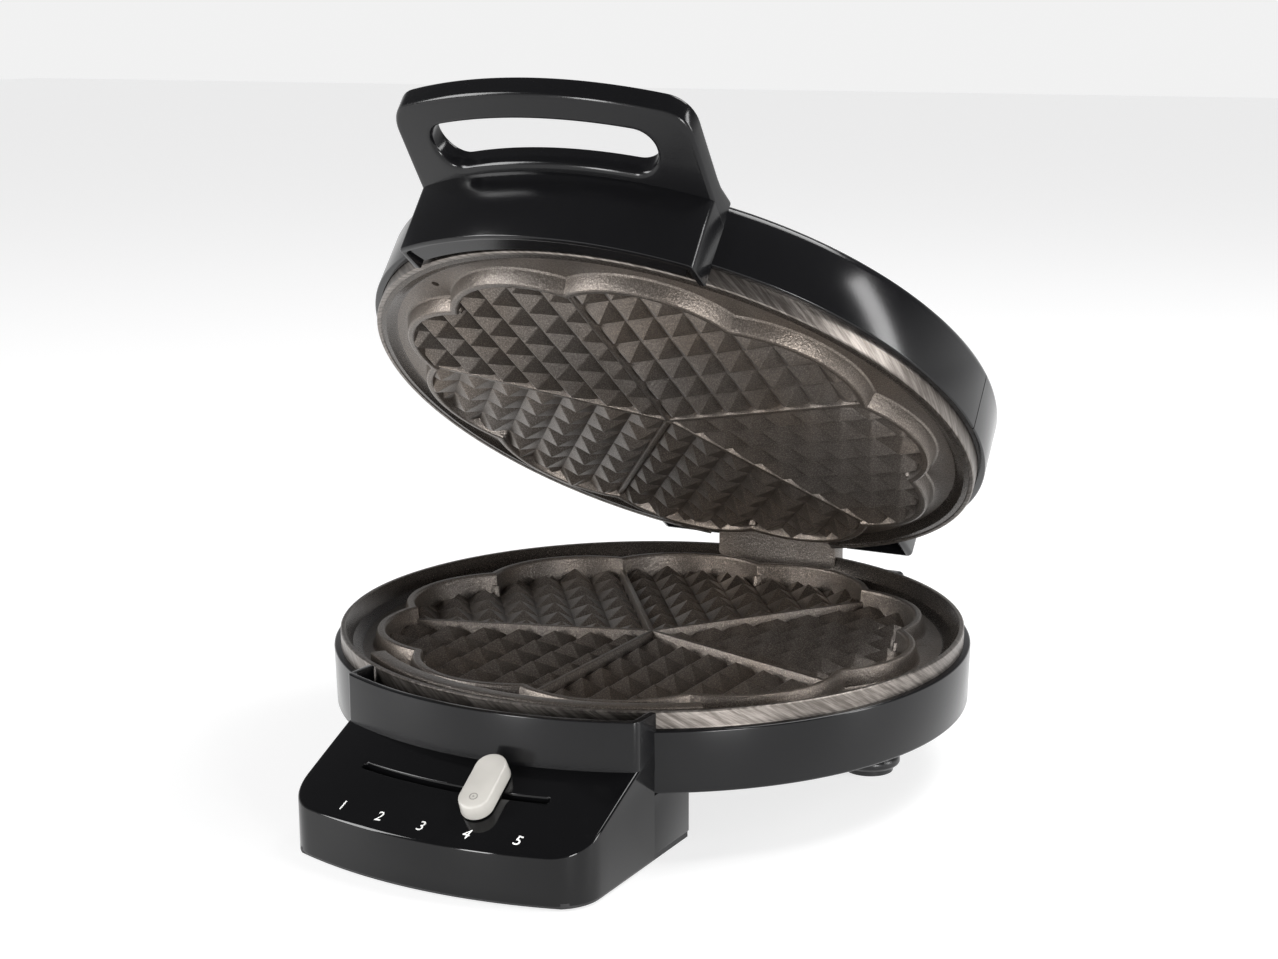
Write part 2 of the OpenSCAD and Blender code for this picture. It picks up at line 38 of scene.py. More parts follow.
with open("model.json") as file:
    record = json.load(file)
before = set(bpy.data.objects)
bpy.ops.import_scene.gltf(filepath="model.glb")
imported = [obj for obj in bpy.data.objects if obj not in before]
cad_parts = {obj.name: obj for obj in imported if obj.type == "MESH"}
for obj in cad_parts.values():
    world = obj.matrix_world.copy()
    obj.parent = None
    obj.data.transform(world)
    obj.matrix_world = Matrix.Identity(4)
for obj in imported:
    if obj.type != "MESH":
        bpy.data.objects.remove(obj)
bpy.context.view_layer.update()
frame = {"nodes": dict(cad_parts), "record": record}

# Shapes are drawn in millimetres about the upright axis of the round housing, with the lid closed.
AXIS_Y = 15.0
MM = 1000.0  # millimetres in a metre
TOP = 46.0  # top edge of the lower housing
BOT = TOP - 22.0  # its bottom edge
LID_LOW = TOP + 14.8  # lower edge of the closed lid's wall
LID_TOP = TOP + 39.7
HOUSING_R = 120.0
LUG_W = 27.0  # half width of the lower plate's hinge lug
EAR_IN, EAR_OUT = 28.4, 36.4  # faces of the upper plate's hinge ears
PIN_R = 2.56  # bore for the hinge pin
BARREL_R = 5.0
HINGE = Vector((0.0, 113.6, 68.4))
LID_OPEN = math.radians(37.3)
LOBE_C, LOBE_R = 63.1, 37.9  # place and radius of the ten lobes
PITCH = 13.2  # distance between rows of pyramids
LOWER_RIM_R, UPPER_RIM_R = 117.5, 116.9
BOX_W = 57.5  # half width of the control housing and of the handle
BAND_R = 130.0  # outer radius of both front bands
SHELF_SPAN = 25.4  # degrees each way of the shelves behind them
SLOT_R = 142.0  # radius of the lever's slot
NUMERAL_R = 158.0  # radius of the row of numerals
PANEL_DROP = 0.52  # fall of the control panel for each millimetre outwards
HANDLE_RISE = 0.37  # rise of the handle for each millimetre outwards

BASE = Matrix.Scale(0.001, 4) @ Matrix.Translation((0, AXIS_Y, 0))
LID = BASE @ Matrix.Translation(HINGE) @ Matrix.Rotation(-LID_OPEN, 4, "X") @ Matrix.Translation(-HINGE)


# ---------------------------------------------------------------- mesh helpers
def panel_height(r):
    """Height of the sloping control panel at that distance from the axis."""
    return TOP - 10.8 - PANEL_DROP * (r - BAND_R)


def handle_height(r):
    """Height of the closed lid's handle at that distance from the axis."""
    return TOP + 40.2 + HANDLE_RISE * (r - BAND_R)


def polar(r, degrees, z=0.0):
    """A point at that many degrees from the front, counted towards the right-hand side."""
    a = math.radians(degrees)
    return Vector((r * math.sin(a), -r * math.cos(a), z))


def lobed(g, degrees):
    """Distance from the axis to the ten-lobed outline, grown by g, in that direction."""
    phi = math.radians((degrees - 18.0) % 36.0)
    phi = phi - math.radians(36.0) if phi > math.radians(18.0) else phi
    r = LOBE_R + g
    return LOBE_C * math.cos(phi) + math.sqrt(r * r - (LOBE_C * math.sin(phi)) ** 2)


def soften(bm, edges, width, segments=3):
    edges = [e for e in edges if e.is_valid]
    if edges:
        bmesh.ops.bevel(bm, geom=edges, offset=width, offset_type="OFFSET", segments=segments, profile=0.5,
                        affect="EDGES", clamp_overlap=True, material=-1)


def sharp(bm, degrees, test=lambda e: True):
    lim = math.radians(degrees)
    return [e for e in bm.edges if len(e.link_faces) == 2 and e.calc_face_angle(0.0) > lim and test(e)]


def lathe(bm, profile, start=0.0, stop=360.0, steps=180, widths=None, slots=None):
    """Spins a closed profile of (radius, height) about the axis.

    widths gives a corner's ring its rounding, slots gives each stretch of the profile its finish.
    """
    full = stop - start >= 359.9
    verts = [bm.verts.new(polar(r, start, z)) for r, z in profile]
    n = len(verts)
    on_axis = profile[0][0] < 1e-6 and profile[-1][0] < 1e-6
    edges = [bm.edges.new((verts[i], verts[(i + 1) % n])) for i in range(n - 1 if on_axis else n)]
    made = set(verts)
    before = set(bm.faces)
    known = set(bm.verts) - made
    if full:
        bmesh.ops.spin(bm, geom=verts + edges, axis=(0, 0, 1), cent=(0, 0, 0), dvec=(0, 0, 0),
                       angle=math.radians(360), steps=steps, use_merge=True, use_duplicate=False)
    else:
        bm.faces.new(verts)
        cap = [f for f in bm.faces if f not in before]
        bmesh.ops.spin(bm, geom=cap, axis=(0, 0, 1), cent=(0, 0, 0), dvec=(0, 0, 0),
                       angle=math.radians(stop - start), steps=steps, use_merge=False, use_duplicate=False)
    fresh = [v for v in bm.verts if v not in known]
    bmesh.ops.remove_doubles(bm, verts=fresh, dist=1e-4)
    faces = [f for f in bm.faces if f not in before]
    if slots:
        pairs = zip(profile, profile[1:] + profile[:1])
        mids = [((a[0] + b[0]) / 2, (a[1] + b[1]) / 2) for a, b in pairs]
        for f in faces:
            radii = {round(v.co.xy.length, 3) for v in f.verts}
            at = Vector((sum(radii) / len(radii), f.calc_center_bounds().z))
            f.material_index = slots[min(range(n), key=lambda i: (at - Vector(mids[i])).length_squared)]
    for i, w in (widths or {}).items():
        r, z = profile[i]
        ring = [e for e in bm.edges if any(f not in before for f in e.link_faces)
                and all(abs(v.co.xy.length - r) < 2e-3 and abs(v.co.z - z) < 2e-3 for v in e.verts)]
        soften(bm, ring, w)


def slab(bm, outline, z0, z1):
    """An upright prism on a plan outline."""
    face = bm.faces.new([bm.verts.new((x, y, z0)) for x, y in outline])
    up = bmesh.ops.extrude_face_region(bm, geom=[face])["geom"]
    tops = [v for v in up if isinstance(v, bmesh.types.BMVert)]
    bmesh.ops.translate(bm, verts=tops, vec=(0, 0, z1 - z0))
    return tops


def block(bm, x0, x1, y0, y1, z0, z1, width=0.0, segments=3):
    size = Matrix.Diagonal((x1 - x0, y1 - y0, z1 - z0, 1))
    middle = Matrix.Translation(((x0 + x1) / 2, (y0 + y1) / 2, (z0 + z1) / 2))
    verts = bmesh.ops.create_cube(bm, size=1, matrix=middle @ size)["verts"]
    if width:
        soften(bm, edges_of(verts), width, segments)


def side_prism(bm, profile, x0, x1, width=0.0):
    """A prism along X on a profile of (y, z)."""
    face = bm.faces.new([bm.verts.new((x0, y, z)) for y, z in profile])
    up = bmesh.ops.extrude_face_region(bm, geom=[face])["geom"]
    tops = [v for v in up if isinstance(v, bmesh.types.BMVert)]
    bmesh.ops.translate(bm, verts=tops, vec=(x1 - x0, 0, 0))
    if width:
        soften(bm, edges_of(tops + list(face.verts)), width)


def edges_of(verts):
    return {e for v in verts for e in v.link_edges}


def post(bm, r, depth, place, segments, top=None):
    """A round post of radius r, or of radius top at its upper end, about the middle of place."""
    return bmesh.ops.create_cone(bm, cap_ends=True, segments=segments, radius1=r,
                                 radius2=r if top is None else top, depth=depth, matrix=place)["verts"]


def rod(bm, r, x0, x1, y, z, segments=48, width=0.0):
    turn = Matrix.Translation(((x0 + x1) / 2, y, z)) @ Matrix.Rotation(math.pi / 2, 4, "Y")
    verts = post(bm, r, x1 - x0, turn, segments)
    if width:
        soften(bm, [e for e in edges_of(verts) if e.calc_face_angle(0) > 1.2], width, 2)


def arc(r, a0, a1, n):
    return [tuple(polar(r, a0 + (a1 - a0) * i / n).xy) for i in range(n + 1)]


def skin(bm, rows):
    """Extrudes closed rows of points one from the next, and the last back on the first."""
    verts = [bm.verts.new(p) for p in rows[0]]
    edges = [bm.edges.new((v, verts[i - 1])) for i, v in enumerate(verts)]
    for row in rows[1:] + rows[:1]:
        out = bmesh.ops.extrude_edge_only(bm, edges=edges)["geom"]
        fresh = {v for v in out if isinstance(v, bmesh.types.BMVert)}
        verts = [next(e.other_vert(v) for e in v.link_edges if e.other_vert(v) in fresh) for v in verts]
        for v, p in zip(verts, row):
            v.co = p
        edges = [e for e in out if isinstance(e, bmesh.types.BMEdge) and set(e.verts) <= fresh]


def plan(front, half, corner, back, d):
    """Plan outline of a front piece, inset by d: curved front and back, rounded corners, straight sides."""
    cy = math.sqrt((front - corner) ** 2 - (half - corner) ** 2)
    a = math.degrees(math.atan2(half - corner, cy))
    right = []
    for i in range(1, 11):
        t = math.radians((90 - a) * (1 - i / 10))
        right.append((half - corner + (corner - d) * math.cos(t), -cy - (corner - d) * math.sin(t)))
    end = -math.sqrt((back + d) ** 2 - (half - d) ** 2)
    right += [(half - d, -cy + (end + cy) * i / 8) for i in range(1, 9)]
    b = math.degrees(math.asin((half - d) / (back + d)))
    left = [(-x, y) for x, y in reversed(right)]
    return arc(front - d, -a, a, 40) + right + arc(back + d, b, -b, 36)[1:-1] + left


def slot_edge(p, rc, half, span):
    """The point of a curved slot's edge nearest to p; the slot follows radius rc to span degrees each way."""
    c = polar(rc, max(-span, min(span, math.degrees(math.atan2(p[0], -p[1]))))).xy
    return c + (Vector(p) - c).normalized() * half


def front_piece(bm, shape, slot, top, low, edge, foot, inner):
    """A rounded plate between a plan outline and a curved slot; top and low give its heights at a radius."""
    rc, half, span = slot
    bend = [(1 - math.cos(t), 1 - math.sin(t)) for t in (math.pi / 2 * i / 5 for i in range(6))]
    rim = plan(*shape, 0)
    rows = []

    def outer(inset, height, drop):
        rows.append([(x, y, height(math.hypot(x, y)) - drop) for x, y in plan(*shape, inset)])

    def hole(grow, height, drop):
        pts = [slot_edge(q, rc, half + grow, span) for q in rim]
        rows.append([(q.x, q.y, height(q.length) - drop) for q in pts])

    def across(inset, grow, height, backwards=False):
        a, b = plan(*shape, inset), [slot_edge(q, rc, half + grow, span) for q in rim]
        steps = [i / 10 for i in range(1, 10)]
        for t in (reversed(steps) if backwards else steps):
            pts = [Vector(u).lerp(v, t) for u, v in zip(a, b)]
            rows.append([(q.x, q.y, height(q.length)) for q in pts])

    for i, d in reversed(bend):
        outer(foot * i, low, -foot * d)
    for i, d in bend:
        outer(edge * i, top, edge * d)
    across(edge, inner, top)
    for i, d in reversed(bend):
        hole(inner * i, top, inner * d)
    for i, d in bend:
        hole(inner * i, low, -inner * d)
    across(foot, inner, low, True)
    skin(bm, rows)


def object_from(bm, name, place):
    """Closes seams, turns faces outwards and puts the mesh in its place, with the object at the origin."""
    bmesh.ops.remove_doubles(bm, verts=bm.verts, dist=1e-4)
    if not bm.faces or any(len(e.link_faces) != 2 for e in bm.edges):
        raise RuntimeError(name + " is not a closed mesh")
    bmesh.ops.recalc_face_normals(bm, faces=bm.faces)
    bmesh.ops.transform(bm, matrix=place, space=Matrix.Identity(4), verts=bm.verts)
    mesh = bpy.data.meshes.new(name)
    bm.to_mesh(mesh)
    bm.free()
    ob = bpy.data.objects.new(name, mesh)
    bpy.context.scene.collection.objects.link(ob)
    return ob


def box_tool(place, *sides):
    """A block to cut with."""
    bm = bmesh.new()
    block(bm, *sides)
    return object_from(bm, "tool", place)


def post_tool(place, *shape):
    """A round post to cut with."""
    bm = bmesh.new()
    post(bm, *shape)
    return object_from(bm, "tool", place)


def cut(ob, cutters):
    """Takes other objects out of ob and leaves a plain mesh."""
    for c in cutters:
        m = ob.modifiers.new("cut", "BOOLEAN")
        m.operation, m.solver, m.object = "DIFFERENCE", "EXACT", c
    dg = bpy.context.evaluated_depsgraph_get()
    mesh = bpy.data.meshes.new_from_object(ob.evaluated_get(dg))
    ob.modifiers.clear()
    old, ob.data = ob.data, mesh
    bpy.data.meshes.remove(old)
    mesh.name = ob.name
    for c in cutters:
        bpy.data.objects.remove(c)
    if not mesh.polygons:
        raise RuntimeError(ob.name + " was cut away entirely")


def wear(ob, *materials, angle=32):
    if not ob.data.materials:
        for m in materials:
            ob.data.materials.append(m)
    ob.data.polygons.foreach_set("use_smooth", [True] * len(ob.data.polygons))
    ob.data.set_sharp_from_angle(angle=math.radians(angle))


def place_piece(ob, body, slot, *nodes):
    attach(ob, body)
    if nodes:
        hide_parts(*nodes)


# ---------------------------------------------------------------- shader maths
class Val:
    """A socket in a material that adds Math nodes when it is used in an expression."""

    def __init__(self, mat, socket):
        self.mat, self.socket = mat, socket

    def _math(self, op, *others, clamp=False):
        n = self.mat.tree.nodes.new("ShaderNodeMath")
        n.operation, n.use_clamp = op, clamp
        for i, x in enumerate(others):
            self.mat.feed(n.inputs[i], x)
        return Val(self.mat, n.outputs[0])

    def __add__(self, o):
        return self._math("ADD", self, o)

    __radd__ = __add__

    def __sub__(self, o):
        return self._math("SUBTRACT", self, o)

    def __rsub__(self, o):
        return self._math("SUBTRACT", o, self)

    def __mul__(self, o):
        return self._math("MULTIPLY", self, o)

    __rmul__ = __mul__

    def __pow__(self, o):
        return self._math("POWER", self, o)

    def __rpow__(self, o):
        return self._math("POWER", o, self)

    def clamp(self):
        return self._math("ADD", self, 0.0, clamp=True)

    def step(self, lo, hi):
        """0 below lo and 1 above hi, smoothly between."""
        return self.mat.node("ShaderNodeMapRange", {"interpolation_type": "SMOOTHSTEP"},
                             {"Value": self, "From Min": lo, "From Max": hi})


class Finish:
    """A material on one Principled surface."""

    def __init__(self, name, color, rough, metallic=0.0, **fixed):
        self.m = bpy.data.materials.new(name)
        self.m.use_nodes = True
        self.tree = self.m.node_tree
        self.surface = self.tree.nodes["Principled BSDF"]
        self.set(**{"Base Color": (*color, 1.0), "Roughness": rough, "Metallic": metallic})
        for k, v in fixed.items():
            self.surface.inputs[k.replace("_", " ")].default_value = v
        self.m.diffuse_color = (*color, 1.0)

    def feed(self, socket, x):
        if isinstance(x, Val):
            self.tree.links.new(x.socket, socket)
        else:
            socket.default_value = x

    def set(self, **values):
        for k, v in values.items():
            self.feed(self.surface.inputs[k], v)

    def node(self, kind, settings=None, inputs=None, out=0):
        n = self.tree.nodes.new(kind)
        for k, v in (settings or {}).items():
            if k == "ramp":
                while len(n.color_ramp.elements) < len(v):
                    n.color_ramp.elements.new(0.5)
                for e, (p, c) in zip(n.color_ramp.elements, v):
                    e.position, e.color = p, (*c, 1.0)
            else:
                setattr(n, k, v)
        for k, v in (inputs or {}).items():
            self.feed(n.inputs[k], v)
        return Val(self, n.outputs[out])

    def spot(self, lid=False):
        """Object coordinates about the housing's axis; on the lid they are turned back to the closed lid."""
        p = self.node("ShaderNodeTexCoord", out=3)
        turn = Matrix.Rotation(LID_OPEN if lid else 0.0, 3, "X")
        axis = Vector((0, AXIS_Y * 0.001, 0))
        h = HINGE * 0.001 + axis
        loc = (h - turn @ h if lid else Vector()) - axis
        return self.node("ShaderNodeMapping", {"vector_type": "POINT"},
                         {"Vector": p, "Location": loc, "Rotation": (LID_OPEN if lid else 0.0, 0, 0)})

    def noise(self, at, scale, detail=3.0, rough=0.55):
        return self.node("ShaderNodeTexNoise", None,
                         {"Vector": at, "Scale": scale, "Detail": detail, "Roughness": rough})

    def cells(self, at, scale):
        return self.node("ShaderNodeTexVoronoi", None, {"Vector": at, "Scale": scale})

    def mix(self, fac, a, b):
        colours = {i: x if isinstance(x, Val) else (*x, 1.0) for i, x in ((6, a), (7, b))}
        return self.node("ShaderNodeMix", {"data_type": "RGBA"}, {0: fac, **colours}, out=2)

    def bump(self, height, strength, depth):
        values = {"Height": height, "Strength": strength, "Distance": depth}
        self.set(Normal=self.node("ShaderNodeBump", None, values))

    def split(self, at):
        x = self.node("ShaderNodeSeparateXYZ", None, {0: at})
        return [Val(self, o) for o in x.socket.node.outputs]

    def join(self, x, y, z):
        return self.node("ShaderNodeCombineXYZ", None, {"X": x, "Y": y, "Z": z})


def polished_plastic(name, color, rough, lid=False, grain=0.06):
    """Glossy moulded plastic with a faint haze and specks of dust."""
    f = Finish(name, color, rough, IOR=1.37)
    at = f.spot(lid)
    cloud = f.noise(at, 22, 4, 0.6)
    fine = f.noise(at, 1500, 2)
    dust = f.noise(at, 420, 3, 0.7).step(0.66, 0.8)
    light = tuple(min(1.0, c * 1.5 + 0.004) for c in color)
    f.set(**{"Base Color": f.mix((cloud * 0.5 + dust * 0.35).clamp(), color, light),
             "Roughness": (rough - 0.05 + 0.1 * cloud + 0.07 * dust).clamp()})
    f.bump(fine + 0.6 * cloud, grain, 0.0002)
    return f.m


def matte_plastic(name, color, rough=0.55, scale=900, depth=0.3):
    """Plastic, rubber or print with a fine grain of that scale."""
    f = Finish(name, color, rough)
    at = f.spot()
    grain = f.cells(at, scale)
    cloud = f.noise(at, 35, 3)
    light = tuple(c * 1.35 + 0.004 for c in color)
    f.set(**{"Base Color": f.mix(cloud.step(0.3, 0.75), color, light),
             "Roughness": rough - 0.08 + 0.16 * cloud})
    f.bump(grain, depth, 0.0002)
    return f.m


def cast_coating(name, dark, light, rough, lid=False, speck=1.0, depth=0.35):
    """Cast aluminium under a dark non-stick coat with fine metallic flecks."""
    f = Finish(name, dark, rough, 0.8)
    at = f.spot(lid)
    fleck = f.cells(at, 1250).step(0.42, 0.1)
    fine = f.noise(at, 2300, 3, 0.7)
    cloud = f.noise(at, 60, 4, 0.6)
    bake = f.noise(at, 17, 3, 0.5).step(0.35, 0.7)
    mask = (fine.step(0.42, 0.72) * 0.65 + fleck * 0.3 * speck + cloud * 0.22).clamp()
    warm = tuple(c * k for c, k in zip(light, (1.0, 0.9, 0.8)))
    f.set(**{"Base Color": f.mix(mask, dark, f.mix(bake, light, warm)),
             "Metallic": (0.62 + 0.3 * mask).clamp(),
             "Roughness": (rough - 0.1 + 0.14 * fine + 0.1 * cloud).clamp()})
    f.bump(fine * 0.8 + f.cells(at, 900) * 0.6, depth, 0.00035)
    return f.m


def turned_metal(name, dark, light, lid=False):
    """The machined rim: fine slanting tool marks that run round the axis."""
    rough = 0.34
    f = Finish(name, light, rough, 0.92)
    at = f.spot(lid)
    x, y, z = f.split(at)
    r = (x * x + y * y) ** 0.5
    turn = f.node("ShaderNodeMath", {"operation": "ARCTAN2"}, {0: y, 1: x})
    slant = turn * 0.118 + (r + z) * 1.6
    marks = f.noise(f.join(slant * 480.0, (r - z) * 110.0, 0.0), 1.0, 3, 0.7)
    rings = f.noise(f.join(r * 2600.0, z * 2600.0, turn * 1.5), 1.0, 2, 0.5)
    cloud = f.noise(at, 55, 3)
    mask = (marks.step(0.35, 0.7) * 0.7 + rings * 0.25 + cloud * 0.15).clamp()
    f.set(**{"Base Color": f.mix(mask, dark, light),
             "Roughness": (rough - 0.1 + 0.22 * marks).clamp()})
    f.bump(marks + rings * 0.5, 0.3, 0.0003)
    return f.m


def plain_metal(name, color, rough=0.3):
    """Bare metal with fine lines drawn along Y."""
    fine, long = 700, 40.0
    f = Finish(name, color, rough, 1.0)
    at = f.spot()
    x, y, z = f.split(at)
    drawn = f.noise(f.join(x * fine, y * long, z * fine), 1.0, 3, 0.6)
    f.set(**{"Base Color": f.mix(drawn, tuple(c * 0.75 for c in color), color),
             "Roughness": rough - 0.08 + 0.2 * drawn})
    f.bump(drawn, 0.15, 0.0002)
    return f.m


def pale_floor(name, color):
    """A studio floor that glows a little, so that it stays pale in the shadows."""
    f = Finish(name, color, 0.6, Emission_Strength=0.74)
    at = f.spot()
    f.set(**{"Base Color": f.mix(f.noise(at, 9, 2), color, tuple(c * 0.985 for c in color)),
             "Emission Color": (1.0, 1.0, 1.0, 1.0)})
    return f.m


_made = {}


def finishes(scene):
    """Every finish by name, made once."""
    if "finishes" in _made:
        return _made["finishes"]
    c = scene.waffle_finish
    black, coat, fleck = tuple(c.plastic), tuple(c.coat_dark), tuple(c.coat_light)

    def tone(color, k):
        return tuple(x * k for x in color)

    F = {
        "base_gloss": polished_plastic("housing_black_gloss", black, c.gloss),
        "panel_gloss": polished_plastic("panel_black_gloss", tone(black, 0.6), max(0.05, c.gloss - 0.09),
                                        grain=0.02),
        "lid_gloss": polished_plastic("lid_black_gloss", black, c.gloss, lid=True),
        "base_matte": matte_plastic("base_black_matte", tone(black, 1.6)),
        "rubber": matte_plastic("foot_black_rubber", tone(black, 1.2), 0.3, 500, 0.12),
        "lower_cast": cast_coating("lower_plate_coating", coat, fleck, 0.3),
        # the channel floor wears the plate coating at half tone: painted shade for the recessed channel round
        # the hearts
        "lower_channel_painted_shade": cast_coating("lower_channel_coating_painted_shade", tone(coat, 0.5), tone(fleck, 0.5), 0.25,
                                    speck=0.3, depth=0.1),
        "lower_rim": turned_metal("lower_rim_turned", tone(coat, 1.3), tone(fleck, 0.95)),
        "upper_cast": cast_coating("upper_plate_coating", coat, fleck, 0.3, lid=True),
        # the lid's channel floor wears the plate coating at half tone: painted shade for the recessed channel
        # round the hearts
        "upper_channel_painted_shade": cast_coating("upper_channel_coating_painted_shade", tone(coat, 0.5), tone(fleck, 0.5), 0.25,
                                    lid=True, speck=0.3, depth=0.1),
        "upper_rim": turned_metal("upper_rim_turned", tone(coat, 1.3), tone(fleck, 0.95), lid=True),
        "lever": matte_plastic("lever_warm_grey", tuple(c.lever), 0.32, 1500, 0.06),
        "mark": matte_plastic("lever_mark_grey", tone(c.lever, 0.55), 0.4, 1500, 0.06),
        "numeral": matte_plastic("numeral_white_print", (0.82, 0.82, 0.8), 0.45, 2500, 0.05),
        "steel": plain_metal("zinc_plated_steel", (0.62, 0.62, 0.64)),
        "sheet": plain_metal("bright_sheet", (0.78, 0.78, 0.79), 0.35),
        "heater": plain_metal("heater_tube", (0.4, 0.36, 0.33), 0.45),
        "ceramic": matte_plastic("cream_ceramic", (0.8, 0.76, 0.68), 0.4, 700, 0.1),
        "sleeve": matte_plastic("red_lead_sleeve", (0.55, 0.06, 0.04), 0.6, 900, 0.3),
        "floor": pale_floor("pale_floor", tuple(c.floor)),
    }
    _made["finishes"] = F
    return F


# ---------------------------------------------------------------- properties
class WaffleSizes(bpy.types.PropertyGroup):
    edge: bpy.props.FloatProperty(name="Edge rounding", description="Radius on the moulded edges",
            default=0.001, min=0.0002, max=0.002, unit="LENGTH")
    pyramid: bpy.props.FloatProperty(name="Pyramid height", description="Height of the baking pyramids",
            default=0.0047, min=0.002, max=0.005, unit="LENGTH")
    crown: bpy.props.FloatProperty(name="Pyramid edge rounding",
            description="Width of the rounding along the pyramids' ridges", default=0.00055, min=0.0001,
            max=0.0015, unit="LENGTH")
    lever_at: bpy.props.FloatProperty(name="Lever position",
            description="Angle of the lever from the middle of its slot", default=math.radians(6.0),
            min=math.radians(-12.3), max=math.radians(12.3), subtype="ANGLE")
    numeral_h: bpy.props.FloatProperty(name="Numeral height",
            description="Type size of the printed numerals", default=0.0056, min=0.003, max=0.007,
            unit="LENGTH")


class WaffleFinish(bpy.types.PropertyGroup):
    plastic: bpy.props.FloatVectorProperty(name="Plastic", description="Colour of the moulded housings",
            subtype="COLOR", default=(0.0035, 0.0035, 0.004), min=0, max=1)
    gloss: bpy.props.FloatProperty(name="Plastic roughness",
            description="Roughness of the polished plastic", default=0.15, min=0.02, max=0.6,
            subtype="FACTOR")
    coat_dark: bpy.props.FloatVectorProperty(name="Coating",
            description="Darker tone of the non-stick coating", subtype="COLOR",
            default=(0.062, 0.053, 0.046), min=0, max=1)
    coat_light: bpy.props.FloatVectorProperty(name="Coating flecks",
            description="Lighter tone of the non-stick coating", subtype="COLOR",
            default=(0.33, 0.3, 0.275), min=0, max=1)
    lever: bpy.props.FloatVectorProperty(name="Lever", description="Colour of the lever's grip",
            subtype="COLOR", default=(0.43, 0.415, 0.385), min=0, max=1)
    floor: bpy.props.FloatVectorProperty(name="Floor", description="Colour of the studio floor",
            subtype="COLOR", default=(0.36, 0.36, 0.36), min=0, max=1)


# ---------------------------------------------------------------- pieces
def turn_round(bm, old, angle):
    """Turns everything drawn since old about the axis."""
    bmesh.ops.rotate(bm, verts=[v for v in bm.verts if v not in old], cent=(0, 0, 0),
                     matrix=Matrix.Rotation(angle, 3, "Z"))


def heart_field(bm, valley, up, height, crown):
    """One heart's pyramids, five times round: a flat heart is scored along its creases, then lifted."""
    a = math.radians(72)
    n_u, n_v = Vector((1, 0, 0)), Vector((-math.cos(a), -math.sin(a), 0))
    around = [0.45 + 71.1 * i / 72 for i in range(73)]
    outline = [Vector((0.7, -0.96, 0))] + [polar(lobed(0.45, d), d) for d in around]
    mine = bmesh.new()
    mine.faces.new([mine.verts.new((p.x, p.y, valley)) for p in outline])
    ridge = (-crown, 0, crown)
    for normal, offsets in ((n_u, (0,)), (n_v, (0,)), (n_u - n_v, ridge), (n_u + n_v, ridge)):
        for k in range(-12, 22):
            for off in offsets:
                at = normal * ((k * PITCH + off) / normal.length_squared)
                bmesh.ops.bisect_plane(mine, geom=mine.verts[:] + mine.edges[:] + mine.faces[:], dist=1e-3,
                                       plane_co=at, plane_no=normal)

    def saw(t):
        return 1.0 - abs(1.0 - 2.0 * ((t / PITCH) % 1.0))

    soft = 2 * crown / PITCH
    for v in mine.verts:
        p, q = saw(v.co.dot(n_u)), saw(v.co.x * n_v.x + v.co.y * n_v.y)
        near = max(soft - abs(p - q), 0.0) / soft
        v.co.z = valley + up * height * (min(p, q) - near * near * soft / 4)
    out = bmesh.ops.extrude_face_region(mine, geom=mine.faces[:])["geom"]
    for v in out:
        if isinstance(v, bmesh.types.BMVert):
            v.co.z = valley - up * 0.7
    mesh = bpy.data.meshes.new("heart")
    mine.to_mesh(mesh)
    mine.free()
    for k in range(5):
        old = set(bm.verts)
        bm.from_mesh(mesh)
        turn_round(bm, old, math.radians(72 * k))
    bpy.data.meshes.remove(mesh)


def plate_body(bm, valley, crest, floor, rim, r_out, back, up, seat):
    """Dish, heart wall, channel and rim in one turning; the wall's rings then take the lobed outline."""
    walls = [(-0.7, valley - 0.4 * up), (-0.1, crest - 0.9 * up), (0.25, crest - 0.25 * up), (0.8, crest),
             (2.1, crest), (2.7, crest - 0.3 * up), (3.1, crest - 1.1 * up), (4.1, floor + 0.9 * up),
             (4.7, floor + 0.25 * up), (5.7, floor)]
    ring_r, flat_r, rise_r = 90.0, 97.3, 113.0
    profile = [(0.0, valley - 0.4 * up)] + [(ring_r + g, z) for g, z in walls]
    profile += [(109.3, floor), (110.3, floor + 0.25 * up), (rise_r, floor + 2.1 * up),
                (r_out - 1.9, rim - 0.3 * up), (r_out - 1.6, rim), (r_out - 0.4, rim),
                (r_out, rim - 0.4 * up)]
    profile += [(r_out, seat), (114.4, seat), (114.4, seat - 5.0 * up), (100.0, back), (0.0, back)]
    # slot 1, the channel floor, takes the half-tone coating that paints the channel's shade
    slots = []
    for i, (r, z) in enumerate(profile):
        on_rim = r >= r_out - 1.95 and i + 1 < len(profile)
        slots.append(2 if on_rim else 1 if flat_r <= r < rise_r else 0)
    slots[[round(r, 2) for r, z in profile].index(rise_r)] = 1
    lathe(bm, profile, steps=360, slots=slots)
    marks = {(round(ring_r + g, 2), round(z, 2)): g for g, z in walls}
    for v in bm.verts:
        r = v.co.xy.length
        g = marks.get((round(r, 2), round(v.co.z, 2)))
        if g is not None:
            deg = math.degrees(math.atan2(v.co.x, -v.co.y))
            v.co.xy = v.co.xy * (lobed(g, deg) / r)


